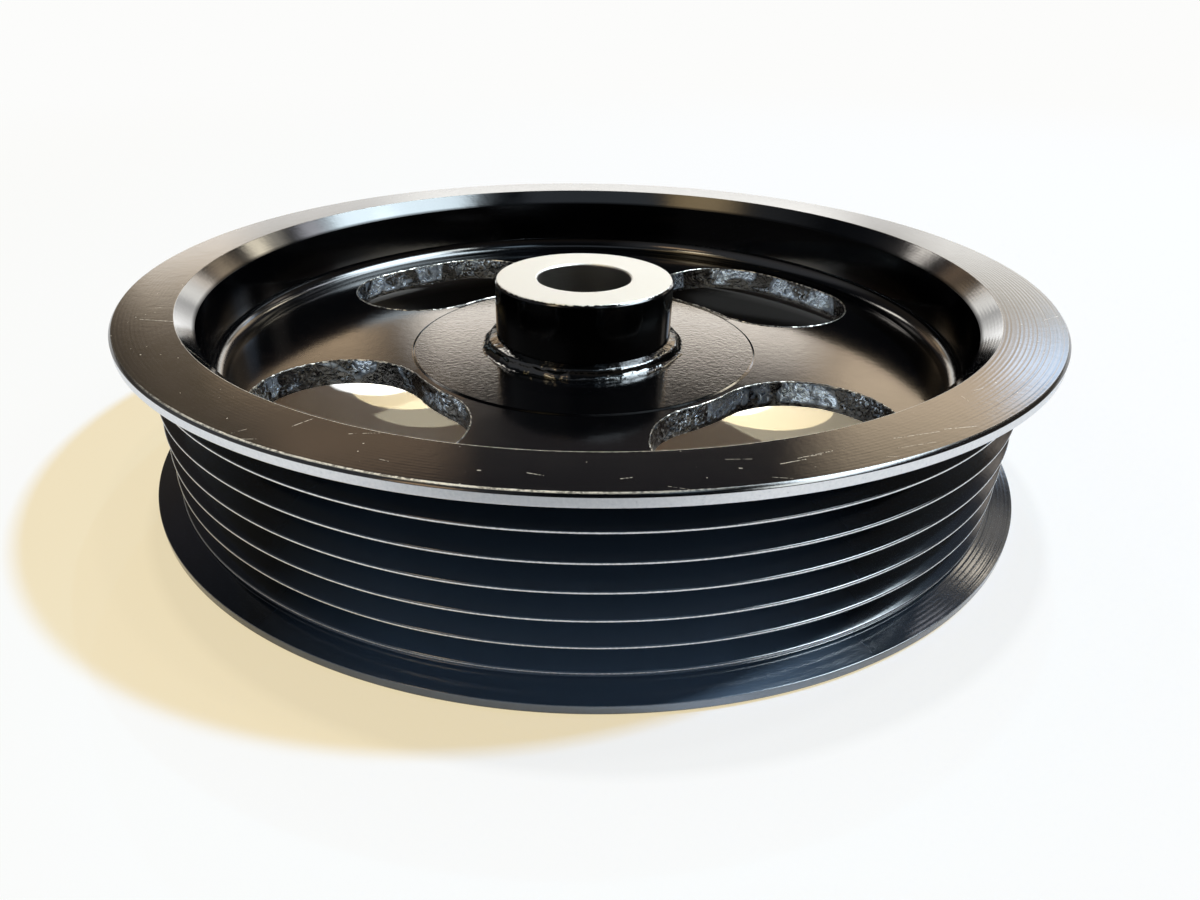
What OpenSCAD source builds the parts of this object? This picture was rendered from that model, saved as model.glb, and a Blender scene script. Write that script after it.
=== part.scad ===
// Six-groove belt pulley for a power steering pump: a steel wheel with a welded hub.
// The axis is +Z, and the wheel lies on its rear flange, whose face is at z = 0.

/* [Belt grooves] */
// Number of grooves for the ribbed belt
groove_count = 6; // [3:1:8]
// Distance from one groove to the next
groove_pitch = 3.56; // [3.4:0.01:3.8]
// Angle between the two sides of a groove, in degrees
groove_angle = 40; // [36:1:44]
// Radius in the bottom of a groove
groove_root_r = 0.5; // [0.3:0.05:0.55]
// Diameter over the tips of the ribs
rib_d = 125.8; // [110:0.2:150]
// Radius on the tip of a rib
rib_tip_r = 0.25; // [0.2:0.05:0.35]

/* [Flanges] */
// Height of a flange above the rib tips
flange_h = 3.4; // [2:0.1:5]
// Width of a flange at its outer edge
flange_edge_w = 1.45; // [1:0.05:1.8]
// Slope of a flange's belt side, in degrees
flange_slope = 10; // [6:1:12]
// Distance from the centre of the last rib to the flange's outer face
flange_side_w = 2.72; // [2.5:0.02:3.6]
// Chamfer round the outer edge of each flange
flange_chamfer = 0.35; // [0.2:0.05:0.6]

/* [Rim] */
// Thickness of the rim under the grooves
rim_wall = 3.15; // [2.5:0.05:4.5]
// Chamfer at the mouth of each recess
mouth_chamfer = 2.2; // [1:0.1:3]
// Fillet between the recess wall and the web
web_fillet_r = 2.2; // [1:0.1:3]

/* [Web] */
// Thickness of the web
web_t = 3.8; // [3:0.1:6]
// Height of the raised pad on the web's front, round the hub
pad_h = 0.15; // [0.1:0.05:0.4]
// Lower part of the web left between the pad and a window
pad_gap = 0.9; // [0.4:0.1:4]

/* [Windows] */
// Number of windows in the web
window_count = 4; // [3:1:5]
// Web left between the hub and a window
window_hub_gap = 14.2; // [12:0.1:18]
// Web left between a window and the recess wall
window_rim_gap = 3.8; // [3.1:0.1:8]
// Angle between the centres of a window's two round ends, in degrees
window_sweep = 17; // [5:1:24]

/* [Hub] */
// Outside diameter of the hub
hub_d = 27.4; // [24:0.2:32]
// Diameter of the shaft bore
bore_d = 14.4; // [12:0.1:17]
// Depth of the hub's front end below the front flange
hub_front_drop = 0.95; // [0:0.05:4]
// Height of the hub's rear end above the rear flange's face
hub_rear_drop = 0.95; // [0:0.05:4]
// Chamfer on the outer edges of the hub
hub_chamfer = 0.35; // [0.2:0.05:1]
// Chamfer on both mouths of the bore
bore_chamfer = 0.25; // [0.1:0.05:0.8]

/* [Weld] */
// Width of the weld bead on the web
weld_w = 1.9; // [1.5:0.1:4]
// Height of the weld bead on the hub
weld_h = 2.15; // [1.5:0.05:3]
// Bulge of the bead beyond a straight line between its two toes
weld_bulge = 0.45; // [0.2:0.05:0.6]

/* [Hidden] */
$fn = 180;
overcut = 1;

// Ribs and grooves
flank = groove_angle / 2;
rib_r = rib_d / 2;
crest_r = rib_r - rib_tip_r + rib_tip_r / sin(flank);
tip_centre_r = rib_r - rib_tip_r;
root_centre_r = crest_r - groove_pitch / 2 / tan(flank) + groove_root_r / sin(flank);
root_r = root_centre_r - groove_root_r;
root_edge_r = root_centre_r - groove_root_r * sin(flank);
tip_edge_r = tip_centre_r + rib_tip_r * sin(flank);
root_edge_half = groove_root_r * cos(flank);
tip_edge_half = rib_tip_r * cos(flank);

// Rim
rim_w = groove_count * groove_pitch + 2 * flange_side_w;
mid_z = rim_w / 2;
flange_r = rib_r + flange_h;
recess_r = root_r - rim_wall;
foot_r = root_r - rim_wall / 2;
mouth_r = recess_r + mouth_chamfer;

// A flange's belt side starts in the notch beside the last rib, where its slope meets the rib's flank
notch_r = (flange_edge_w - flange_side_w + crest_r * tan(flank) + flange_r * tan(flange_slope))
    / (tan(flank) + tan(flange_slope));
notch_z = flange_edge_w + (flange_r - notch_r) * tan(flange_slope);

// Web and windows
web_front_z = mid_z + web_t / 2;
web_rear_z = mid_z - web_t / 2;
hub_r = hub_d / 2;
pad_z = web_front_z + pad_h;
window_in_r = hub_r + window_hub_gap;
pad_r = window_in_r - pad_gap;
window_out_r = recess_r - window_rim_gap;
window_end_r = (window_out_r - window_in_r) / 2;
window_pitch_r = (window_out_r + window_in_r) / 2;

// Hub and weld
bore_r = bore_d / 2;
hub_front_z = rim_w - hub_front_drop;
hub_rear_z = hub_rear_drop;
weld_chord = norm([weld_w, weld_h]);
weld_face_r = (weld_chord * weld_chord / 4 + weld_bulge * weld_bulge) / (2 * weld_bulge);
weld_back = weld_face_r - weld_bulge;

function polar(r, a) = [r * cos(a), r * sin(a)];

// Centre height of groove n, counted from the rear
function groove_z(n) = mid_z + (n - (groove_count - 1) / 2) * groove_pitch;

// Section of one rib, with a round tip and its foot sunk in the band under the grooves
module rib_section() {
    foot_half = groove_pitch / 2 - root_edge_half;
    polygon([
        [foot_r, -foot_half],
        [root_edge_r, -foot_half],
        [tip_edge_r, -tip_edge_half],
        [tip_edge_r, tip_edge_half],
        [root_edge_r, foot_half],
        [foot_r, foot_half],
    ]);
    translate([tip_centre_r, 0])
        circle(r = rib_tip_r);
}

// Section of the rim without its ribs: both flanges, and the band with the round groove bottoms in it
module rim_section() {
    difference() {
        polygon([
            [recess_r, mouth_chamfer],
            [mouth_r, 0],
            [flange_r - flange_chamfer, 0],
            [flange_r, flange_chamfer],
            [flange_r, flange_edge_w],
            [notch_r, notch_z],
            [notch_r, flange_side_w],
            [root_edge_r, flange_side_w],
            [root_edge_r, rim_w - flange_side_w],
            [notch_r, rim_w - flange_side_w],
            [notch_r, rim_w - notch_z],
            [flange_r, rim_w - flange_edge_w],
            [flange_r, rim_w - flange_chamfer],
            [flange_r - flange_chamfer, rim_w],
            [mouth_r, rim_w],
            [recess_r, rim_w - mouth_chamfer],
        ]);
        for (n = [0 : groove_count - 1])
            translate([root_centre_r, groove_z(n)])
                circle(r = groove_root_r);
    }
}

// Fillet where the recess wall meets the web's front, with its back sunk in both
module fillet_section() {
    difference() {
        translate([recess_r - web_fillet_r, mid_z])
            square([foot_r - recess_r + web_fillet_r, web_t / 2 + web_fillet_r]);
        translate([recess_r - web_fillet_r, web_front_z + web_fillet_r])
            circle(r = web_fillet_r);
    }
}

// Half section of the whole wheel, from the hub's seat to the flanges
module wheel_section() {
    rim_section();
    for (n = [0 : groove_count])
        translate([0, groove_z(n - 0.5)])
            rib_section();
    translate([hub_r, web_rear_z])
        square([foot_r - hub_r, web_t]);
    translate([hub_r, mid_z])
        square([pad_r - hub_r, pad_z - mid_z]);
    fillet_section();
    translate([0, rim_w])
        mirror([0, 1])
            fillet_section();
}

// Outline of one kidney-shaped window: part of a ring, closed by two round ends
module window_outline() {
    half = window_sweep / 2;
    reach = 2 * window_out_r;
    intersection() {
        difference() {
            circle(r = window_out_r);
            circle(r = window_in_r);
        }
        polygon([[0, 0], polar(reach, -half), polar(reach, half)]);
    }
    for (a = [-half, half])
        translate(polar(window_pitch_r, a))
            circle(r = window_end_r);
}

module pulley_wheel() {
    color("#1d1b1a")
        difference() {
            rotate_extrude()
                wheel_section();
            for (n = [0 : window_count - 1])
                rotate([0, 0, (n + 0.5) * 360 / window_count])
                    translate([0, 0, web_rear_z - web_fillet_r - overcut])
                        linear_extrude(height = web_t + 2 * (web_fillet_r + overcut))
                            window_outline();
        }
}

module hub() {
    color("#d8d5cf")
        rotate_extrude()
            polygon([
                [bore_r + bore_chamfer, hub_rear_z],
                [hub_r - hub_chamfer, hub_rear_z],
                [hub_r, hub_rear_z + hub_chamfer],
                [hub_r, hub_front_z - hub_chamfer],
                [hub_r - hub_chamfer, hub_front_z],
                [bore_r + bore_chamfer, hub_front_z],
                [bore_r, hub_front_z - bore_chamfer],
                [bore_r, hub_rear_z + bore_chamfer],
            ]);
}

// Weld round the foot of the hub: a round face through the toe on the web and the toe on the hub
module weld_bead() {
    color("#242220")
        rotate_extrude()
            intersection() {
                translate([hub_r, pad_z])
                    square([weld_w + weld_h, weld_w + weld_h]);
                translate([
                    hub_r + weld_w / 2 - weld_back * weld_h / weld_chord,
                    pad_z + weld_h / 2 - weld_back * weld_w / weld_chord,
                ])
                    circle(r = weld_face_r);
            }
}

pulley_wheel();
hub();
weld_bead();
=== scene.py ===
# %% [markdown]
# # A ribbed belt pulley for a power steering pump
#
# The pulley is a steel wheel, turned all over, with a turned hub welded into its web. It is painted
# gloss black, and the hub's ends, the tips of the ribs and the rim of the front flange are bare.
# The CAD model already holds each form at its real size. It is loaded first, and every piece made
# here lies in its frame: +Z is the shaft's axis, and the rear flange lies on the floor at z = 0.
# Blender works in metres, and MM turns the millimetres written here into them.

# %% The CAD frame
import math

import bpy
import numpy as np
from mathutils import Matrix, Vector


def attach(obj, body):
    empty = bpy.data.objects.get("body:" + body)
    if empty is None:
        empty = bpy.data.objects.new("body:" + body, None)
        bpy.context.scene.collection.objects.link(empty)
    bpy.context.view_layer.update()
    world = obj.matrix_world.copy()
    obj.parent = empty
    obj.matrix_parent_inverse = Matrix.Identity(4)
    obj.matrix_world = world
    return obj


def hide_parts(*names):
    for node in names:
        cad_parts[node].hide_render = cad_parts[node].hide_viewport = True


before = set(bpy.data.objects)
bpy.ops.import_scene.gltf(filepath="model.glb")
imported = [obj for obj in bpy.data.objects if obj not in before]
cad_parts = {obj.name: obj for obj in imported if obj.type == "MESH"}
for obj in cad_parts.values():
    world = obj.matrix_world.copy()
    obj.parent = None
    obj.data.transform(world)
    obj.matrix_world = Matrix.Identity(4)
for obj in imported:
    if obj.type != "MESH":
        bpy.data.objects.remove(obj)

bpy.context.view_layer.update()
MM = 0.001

# %% [markdown]
# ## Helpers for trees, colours and objects
#
# A node tree reads easily when each node takes one line, so one small function adds a node with its
# settings and links. Inputs are given by name or in the node's own order, a node given as an input
# stands for its first output in use, and a hex colour is turned from sRGB to the linear light that
# Blender's sockets want. Data shows up only through objects, so one more function stands it in the
# scene.

# %% Helpers
MATH, VECTOR, RANGE = "ShaderNodeMath", "ShaderNodeVectorMath", "ShaderNodeMapRange"
NOISE, MIX, COLOURS = "ShaderNodeTexNoise", "ShaderNodeMix", {"data_type": "RGBA"}


def linear(hex_colour):
    """An sRGB hex colour as linear RGBA."""
    values = [int(hex_colour[i:i + 2], 16) / 255 for i in (1, 3, 5)]
    return [v / 12.92 if v <= 0.04045 else ((v + 0.055) / 1.055) ** 2.4 for v in values] + [1]


def feed(tree, node, inputs):
    """Sets or links a node's inputs, given as a dict, or as a tuple in the node's own order."""
    for key, value in inputs.items() if isinstance(inputs, dict) else enumerate(inputs):
        if isinstance(value, str) and value.startswith("#"):
            value = linear(value)
        if isinstance(value, bpy.types.Node):
            value = next(output for output in value.outputs if output.enabled)
        if isinstance(value, bpy.types.NodeSocket):
            tree.links.new(value, node.inputs[key])
        else:
            node.inputs[key].default_value = value


def add(tree, kind, inputs=(), settings=None):
    """Adds a node. settings is a dict, or the name of a math node's operation."""
    node = tree.nodes.new(kind)
    if isinstance(settings, str):
        settings = {"operation": settings}
    for name, value in (settings or {}).items():
        setattr(node, name, value)
    feed(tree, node, inputs)
    return node


def stand(name, data):
    """A new object in the scene, at the origin."""
    piece = bpy.data.objects.new(name, data)
    bpy.context.scene.collection.objects.link(piece)
    return piece


print("the mid grey #808080 is", round(linear("#808080")[0], 3), "of white in linear light")

# %% [markdown]
# ## Outlines with rounded corners
#
# A lathe leaves no perfectly sharp corner, and the tiny rounding on each edge catches the light as
# a thin bright line. A Bevel modifier could round a mesh, but a section drawn with its rounding
# keeps every radius at its real size. So a section is written as corners with a radius each, and
# one function swaps every corner for an arc.

# %% Corners to arcs
def rounded(corners, step=20, side=0.4):
    """Points of a closed outline, from (x, y, radius) corners in mm.
    A side of an arc turns at most step degrees and is at most side mm long."""
    points = []
    for i, (x, y, radius) in enumerate(corners):
        corner = np.array([x, y])
        if radius == 0:
            points.append(corner)
            continue
        back = np.array(corners[i - 1][:2]) - corner
        ahead = np.array(corners[(i + 1) % len(corners)][:2]) - corner
        back, ahead = back / np.hypot(*back), ahead / np.hypot(*ahead)
        half = math.acos(np.clip(back @ ahead, -1, 1)) / 2
        middle = (back + ahead) / np.hypot(*(back + ahead))
        centre = corner + middle * radius / math.sin(half)
        start = corner + back * radius / math.tan(half) - centre
        end = corner + ahead * radius / math.tan(half) - centre
        first = math.atan2(start[1], start[0])
        turn = (math.atan2(end[1], end[0]) - first + math.pi) % (2 * math.pi) - math.pi
        bend = abs(turn)
        sides = max(2, math.ceil(bend / math.radians(step)), math.ceil(bend * radius / side))
        for k in range(sides + 1):
            angle = first + turn * k / sides
            points.append(centre + radius * np.array([math.cos(angle), math.sin(angle)]))
    return np.array(points)


square = [(0, 0, 1), (9, 0, 1), (9, 9, 1), (0, 9, 1)]
print("a square with round corners:", len(rounded(square)), "points")

# %% [markdown]
# ## Section of the wheel
#
# The two recesses are alike: from the web a round fillet leads up into the recess wall, a wide
# chamfer opens the mouth, and the flange goes round to the notch beside the first rib. The belt
# face is a row of V grooves with round bottoms, between ribs with round tips. The sizes are the CAD
# source's; only the fillet is a little larger and the pad's step a little softer, as their
# reflections in the photo ask. A loop lays out the ribs, because their pitch is what makes the belt
# fit.

# %% The wheel's sizes in mm
GROOVES, PITCH, FLANK = 6, 3.56, math.radians(20)
RIB_R, TIP_ROUND, ROOT_ROUND = 62.9, 0.25, 0.5
FLANGE_R, FLANGE_EDGE, FLANGE_SIDE, EDGE_CHAMFER = 66.3, 1.45, 2.72, 0.35
RIM_W = GROOVES * PITCH + 2 * FLANGE_SIDE
MIDDLE_Z = RIM_W / 2
CREST_R = RIB_R - TIP_ROUND + TIP_ROUND / math.sin(FLANK)
ROOT_R = CREST_R - PITCH / 2 / math.tan(FLANK)
NOTCH_R, NOTCH_Z, NOTCH_ROUND = 61.98, 2.212, 0.20
WALL_R, MOUTH_R, FILLET = 56.30, 58.50, 2.5
WEB_FRONT, WEB_REAR, PAD_Z, PAD_R = 15.30, 11.50, 15.45, 27.0
PAD_STEP, PAD_ROUND = 0.35, 0.3
HUB_R = 13.70
EDGE, FINE_EDGE = 0.12, 0.10
print("rim", round(RIM_W, 2), "mm wide, virtual crest", round(CREST_R, 2), "root", round(ROOT_R, 2))


# %% The corners, and the outline
def rim_half(web_z, z):
    """Corners from the web along the recess wall and over the flange to its notch."""
    return [
        (WALL_R, web_z, FILLET),
        (WALL_R, z(MOUTH_R - WALL_R), EDGE),
        (MOUTH_R, z(0), FINE_EDGE),
        (FLANGE_R - EDGE_CHAMFER, z(0), FINE_EDGE),
        (FLANGE_R, z(EDGE_CHAMFER), EDGE),
        (FLANGE_R, z(FLANGE_EDGE), EDGE),
        (NOTCH_R, z(NOTCH_Z), NOTCH_ROUND),
    ]


ribs = []
for n in range(GROOVES + 1):
    rib_z = FLANGE_SIDE + n * PITCH
    ribs.append((CREST_R, rib_z, TIP_ROUND))
    if n < GROOVES:
        ribs.append((ROOT_R, rib_z + PITCH / 2, ROOT_ROUND))
wheel_corners = (
    [(HUB_R, WEB_REAR, 0)] + rim_half(WEB_REAR, lambda v: v) + ribs
    + rim_half(WEB_FRONT, lambda v: RIM_W - v)[::-1]
    + [(PAD_R, WEB_FRONT, PAD_ROUND), (PAD_R - PAD_STEP, PAD_Z, PAD_ROUND), (HUB_R, PAD_Z, 0)]
)
wheel_outline = rounded(wheel_corners, step=24)
print("wheel section:", len(wheel_corners), "corners,", len(wheel_outline), "points")

# %% [markdown]
# ## Turning a section into a piece
#
# Everything on this part was turned, so one Geometry Nodes tree serves as the lathe. A Screw
# modifier could spin a section too, but a tree is reused for each piece with other inputs. It
# carries the section along a circle one millimetre in radius, which puts each point at its own
# radius. The sweep leaves the faces pointing inwards, so they are flipped. Every tree ends in the
# same two nodes: one makes instances real, because an export drops them, and one gives the
# material.

# %% A section as a curve object
def closed_curve(name, points):
    """A closed curve object through points in metres."""
    curve = bpy.data.curves.new(name, "CURVE")
    curve.dimensions = "3D"
    spline = curve.splines.new("POLY")
    spline.points.add(len(points) - 1)
    spline.points.foreach_set("co", np.column_stack([points, np.ones(len(points))]).ravel())
    spline.use_cyclic_u = True
    return stand(name, curve)


PATH_R = 1 * MM


def section_curve(name, outline):
    """The curve of a section, radius along X and height down -Y, as the lathe tree reads it."""
    return closed_curve(name, np.column_stack([
        outline[:, 0] * MM - PATH_R, -outline[:, 1] * MM, np.zeros(len(outline))]))


wheel_section = section_curve("wheel_section", wheel_outline)
print(wheel_section.name, "drawn with", len(wheel_section.data.splines[0].points), "points")


# %% The lathe tree
def given_to(tree):
    """The inputs of a tree, by name."""
    return {socket.name: socket for socket in add(tree, "NodeGroupInput").outputs}


def new_tree(name, inputs):
    """An empty Geometry Nodes tree with named inputs, given as (name, socket type, default)."""
    tree = bpy.data.node_groups.new(name, "GeometryNodeTree")
    tree.interface.new_socket("Geometry", in_out="INPUT", socket_type="NodeSocketGeometry")
    for label, kind, default in inputs:
        socket = tree.interface.new_socket(label, in_out="INPUT", socket_type=kind)
        if default is not None:
            socket.default_value = default
    tree.interface.new_socket("Geometry", in_out="OUTPUT", socket_type="NodeSocketGeometry")
    return tree, given_to(tree), add(tree, "NodeGroupOutput")


def finish_tree(tree, given, result, geometry, where=True):
    """Ends a tree as every tree here ends: instances made real, then the material set."""
    real = add(tree, "GeometryNodeRealizeInstances", (geometry,))
    painted = add(tree, "GeometryNodeSetMaterial", {
        "Geometry": real, "Selection": where, "Material": given["Material"]})
    feed(tree, result, (painted,))
    print("tree", tree.name, "has", len(tree.nodes), "nodes")


lathe, given, result = new_tree("Lathe", [
    ("Path radius", "NodeSocketFloat", PATH_R),
    ("Sides", "NodeSocketInt", 480),
    ("Material", "NodeSocketMaterial", None),
])
path = add(lathe, "GeometryNodeCurvePrimitiveCircle", {
    "Resolution": given["Sides"], "Radius": given["Path radius"]})
swept = add(lathe, "GeometryNodeCurveToMesh", {
    "Curve": path, "Profile Curve": given["Geometry"]})
faced_out = add(lathe, "GeometryNodeFlipFaces", (swept,))
finish_tree(lathe, given, result, faced_out)

# %% [markdown]
# ## From a tree to a piece
#
# A modifier stays live and would run again at every change, so each tree runs once and its result
# is kept as a plain mesh. The piece is then shaded smooth across small angles and sharp across
# large ones. Its normals are weighted by the faces' areas, which keeps flat faces flat up to the
# small roundings beside them.

# %% Running a tree
def as_mesh(piece):
    """The mesh of a piece as its modifiers leave it. The piece itself is dropped."""
    depsgraph = bpy.context.evaluated_depsgraph_get()
    mesh = bpy.data.meshes.new_from_object(piece.evaluated_get(depsgraph), depsgraph=depsgraph)
    bpy.data.objects.remove(piece)
    return mesh


def grow(piece, tree, values):
    """The mesh that a piece becomes when the tree runs on it with those named inputs."""
    maker = piece.modifiers.new(tree.name, "NODES")
    maker.node_group = tree
    sockets = {s.name: s.identifier for s in tree.interface.items_tree if s.in_out == "INPUT"}
    for name, value in values.items():
        maker[sockets[name]] = value
    return as_mesh(piece)


# %% Shading a piece
FACE_WEIGHT = 90


def as_piece(name, mesh, sharp=25):
    """A finished piece at the origin, smooth apart from edges sharper than that many degrees."""
    mesh.polygons.foreach_set("use_smooth", [True] * len(mesh.polygons))
    mesh.set_sharp_from_angle(angle=math.radians(sharp))
    draft = stand(name + "_draft", mesh)
    even = draft.modifiers.new("even_shading", "WEIGHTED_NORMAL")
    even.keep_sharp = True
    even.weight = FACE_WEIGHT
    mesh = as_mesh(draft)
    mesh.name = name
    piece = stand(name, mesh)
    places = np.array([v.co for v in mesh.vertices]) / MM
    mesh.calc_loop_triangles()
    print(name, len(mesh.loop_triangles), "triangles, from", places.min(0).round(2), "to",
          places.max(0).round(2), "mm")
    return piece


# %% [markdown]
# ## The finishes
#
# Every finish reads a point's place from Object coordinates, in millimetres from the axis and the
# floor, because that is how the part was made: tool marks depend on the radius, and the paint is
# worn off at known radii. A UV map could carry such patterns, but it would have to be unrolled
# first. A noise's scale is in spots to the millimetre: at scale 3 they are a third of a millimetre
# apart.

# %% Starting a finish
def new_finish(name):
    """A material, its tree and shader, and a point's place, radius and height in mm."""
    finish = bpy.data.materials.new(name)
    finish.use_nodes = True
    tree = finish.node_tree
    coordinates = add(tree, "ShaderNodeTexCoord")
    place = add(tree, VECTOR, {0: coordinates.outputs["Object"], "Scale": 1 / MM}, "SCALE")
    flat = add(tree, VECTOR, (place, (1, 1, 0)), "MULTIPLY")
    radius = add(tree, VECTOR, (flat,), "LENGTH")
    parts = add(tree, "ShaderNodeSeparateXYZ", (place,))
    return finish, tree, tree.nodes["Principled BSDF"], place, radius, parts.outputs["Z"]


def join(tree, kind, operation, first, *others):
    """One node out of several, two at a time, by a row of nodes of that kind."""
    for other in others:
        first = add(tree, kind, (first, other), operation)
    return first


ENAMEL_IOR = 1.55
head_on = ((ENAMEL_IOR - 1) / (ENAMEL_IOR + 1)) ** 2
print("enamel mirrors", round(100 * head_on, 1), "% of the light that meets it head on")

# %% [markdown]
# ## Scratches
#
# The front flange has been knocked about: short pale scratches where something hard scraped the
# paint. A painted picture would be too coarse for marks as thin as a hair, so each scratch is a
# line between two points. A node group turns the distance from such a line into a mask, and one
# group serves for every scratch.

# %% The scratch group
scratch = bpy.data.node_groups.new("Scratch", "ShaderNodeTree")
for label, kind in (("Place", "NodeSocketVector"), ("Start", "NodeSocketVector"),
                    ("End", "NodeSocketVector"), ("Half width", "NodeSocketFloat"),
                    ("Strength", "NodeSocketFloat")):
    scratch.interface.new_socket(label, in_out="INPUT", socket_type=kind)
scratch.interface.new_socket("Mask", in_out="OUTPUT", socket_type="NodeSocketFloat")
given, result = given_to(scratch), add(scratch, "NodeGroupOutput")
along = add(scratch, VECTOR, (given["End"], given["Start"]), "SUBTRACT")
away = add(scratch, VECTOR, (given["Place"], given["Start"]), "SUBTRACT")
reach = add(scratch, VECTOR, (away, along), "DOT_PRODUCT")
whole = add(scratch, VECTOR, (along, along), "DOT_PRODUCT")
share = add(scratch, MATH, (reach, whole), {"operation": "DIVIDE", "use_clamp": True})
foot = add(scratch, VECTOR, {0: along, "Scale": share}, "SCALE")
gap = add(scratch, VECTOR, (away, foot), "DISTANCE")
mask = add(scratch, RANGE, (gap, given["Half width"], 0.0, 0.0, given["Strength"]))
feed(scratch, result, (mask,))
print("scratch group:", len(scratch.nodes), "nodes")

# %% Where the scratches are, in mm: start x, y, end x, y, half width, strength
ON_FACE = [
    (-55.2, -29.3, -50.4, -29.5, 0.08, 0.8), (-55.6, -24.8, -54.4, -24.3, 0.07, 0.6),
    (-28.9, -58.8, -27.8, -57.8, 0.06, 0.7), (-27.4, -59.9, -26.0, -59.7, 0.06, 0.6),
    (-23.6, -56.6, -22.2, -54.7, 0.08, 0.9), (-17.5, -57.5, -14.6, -56.9, 0.07, 0.9),
    (-13.0, -62.1, -12.1, -62.4, 0.08, 0.6), (-3.6, -63.0, -3.4, -63.0, 0.13, 0.8),
    (0.9, -62.9, 2.4, -63.2, 0.07, 1.0), (9.3, -62.9, 10.4, -62.5, 0.08, 0.9),
    (13.5, -63.7, 15.3, -64.0, 0.05, 0.6), (19.9, -59.6, 20.1, -59.6, 0.12, 0.8),
    (18.6, -58.1, 21.1, -57.7, 0.09, 0.35), (22.6, -60.9, 24.5, -60.9, 0.05, 0.7),
    (23.7, -58.3, 26.1, -57.1, 0.08, 0.9), (25.4, -57.0, 28.8, -55.1, 0.08, 0.7),
    (26.3, -56.5, 27.6, -56.0, 0.12, 0.45), (33.6, -55.7, 34.8, -55.4, 0.05, 0.6),
    (35.1, -53.7, 39.1, -51.9, 0.05, 0.55), (35.1, -51.7, 39.9, -49.6, 0.06, 0.7),
    (40.5, -49.0, 43.9, -47.9, 0.07, 0.8), (44.4, -40.6, 44.8, -41.8, 0.05, 0.7),
    (46.2, -38.8, 47.3, -38.1, 0.06, 0.7), (61.9, -14.2, 64.3, -12.3, 0.06, 0.8),
]
SCRATCHES = [
    ((x0, y0, RIM_W), (x1, y1, RIM_W), half, seen) for x0, y0, x1, y1, half, seen in ON_FACE]

# Two long ones run down the chamfer of the front mouth
SCRATCHES += [
    ((-45.5, -36.9, 26.8), (-40.2, -39.9, 25.0), 0.10, 0.9),
    ((-43.7, -41.2, 26.8), (-45.7, -32.9, 24.6), 0.07, 0.7),
]
print(len(SCRATCHES), "scratches")

# %% [markdown]
# ## Black enamel over turned steel
#
# The real finish is a thin sprayed enamel, baked on over bare turned steel. Enamel is a
# clear-bodied resin of IOR about 1.55, so a black one shows almost nothing but reflections, and the
# relief below gives those their shape. Where something rubs, the tips of the ribs and the rims of
# the flanges, the paint is gone and the steel shows. Wear has no edge that a mesh could follow, so
# it is no piece of its own: a mask turns the same shader from enamel into metal.

# %% The enamel: where the steel shows
enamel, tree, shader, place, radius, height = new_finish("black_enamel_over_turned_steel")


def facing(degrees, low, high, to_low, to_high):
    """A node that gives to_high on the wheel's side at that angle from +X, and to_low elsewhere."""
    way = (math.cos(math.radians(degrees)), math.sin(math.radians(degrees)), 0)
    along = add(tree, VECTOR, (place, way), "DOT_PRODUCT")
    share = add(tree, MATH, (along, radius), "DIVIDE")
    return add(tree, RANGE, (share, low, high, to_low, to_high))


# Spots of a third of a millimetre, and patches of about three
fine = add(tree, NOISE, {"Vector": place, "Scale": 3.0, "Detail": 4.0})
coarse = add(tree, NOISE, {"Vector": place, "Scale": 0.35, "Detail": 3.0})

# Worn edges wander a little, and the tips of the ribs, which a belt polishes, hardly at all
WANDER, TIP_WANDER = 0.06, 0.012
shift = add(tree, RANGE, (fine, 0, 1, -WANDER, WANDER))
worn_r = add(tree, MATH, (radius, shift), "ADD")
shift = add(tree, RANGE, (fine, 0, 1, -TIP_WANDER, TIP_WANDER))
tip_r = add(tree, MATH, (radius, shift), "ADD")

# Height above or below the middle of the rim, so that both flanges wear alike
off_middle = add(tree, MATH, (height, MIDDLE_Z), "SUBTRACT")
side_z = add(tree, MATH, (off_middle,), "ABSOLUTE")
in_ribs = add(tree, MATH, (side_z, MIDDLE_Z - NOTCH_Z), "LESS_THAN")
polished = add(tree, RANGE, (tip_r, RIB_R - 0.03, RIB_R - 0.01))
tips = add(tree, MATH, (polished, in_ribs), "MULTIPLY")

# The front flange's rim is worn bright, and the rear one's shows only a little bare steel, which
# keeps it dark
REAR_BARE = 0.12
rubbed = add(tree, RANGE, (worn_r, FLANGE_R - 0.08, FLANGE_R - 0.02))
below = add(tree, MATH, (side_z, MIDDLE_Z - EDGE_CHAMFER - 0.03), "LESS_THAN")
in_front = add(tree, RANGE, (height, MIDDLE_Z - 1, MIDDLE_Z + 1, REAR_BARE, 1))
rims = join(tree, MATH, "MULTIPLY", rubbed, below, in_front)
bare = add(tree, MATH, (tips, rims), "MAXIMUM")
print("bare from radius", round(RIB_R - 0.02, 2), "on the ribs,", FLANGE_R - 0.05, "on the flanges")
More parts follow.
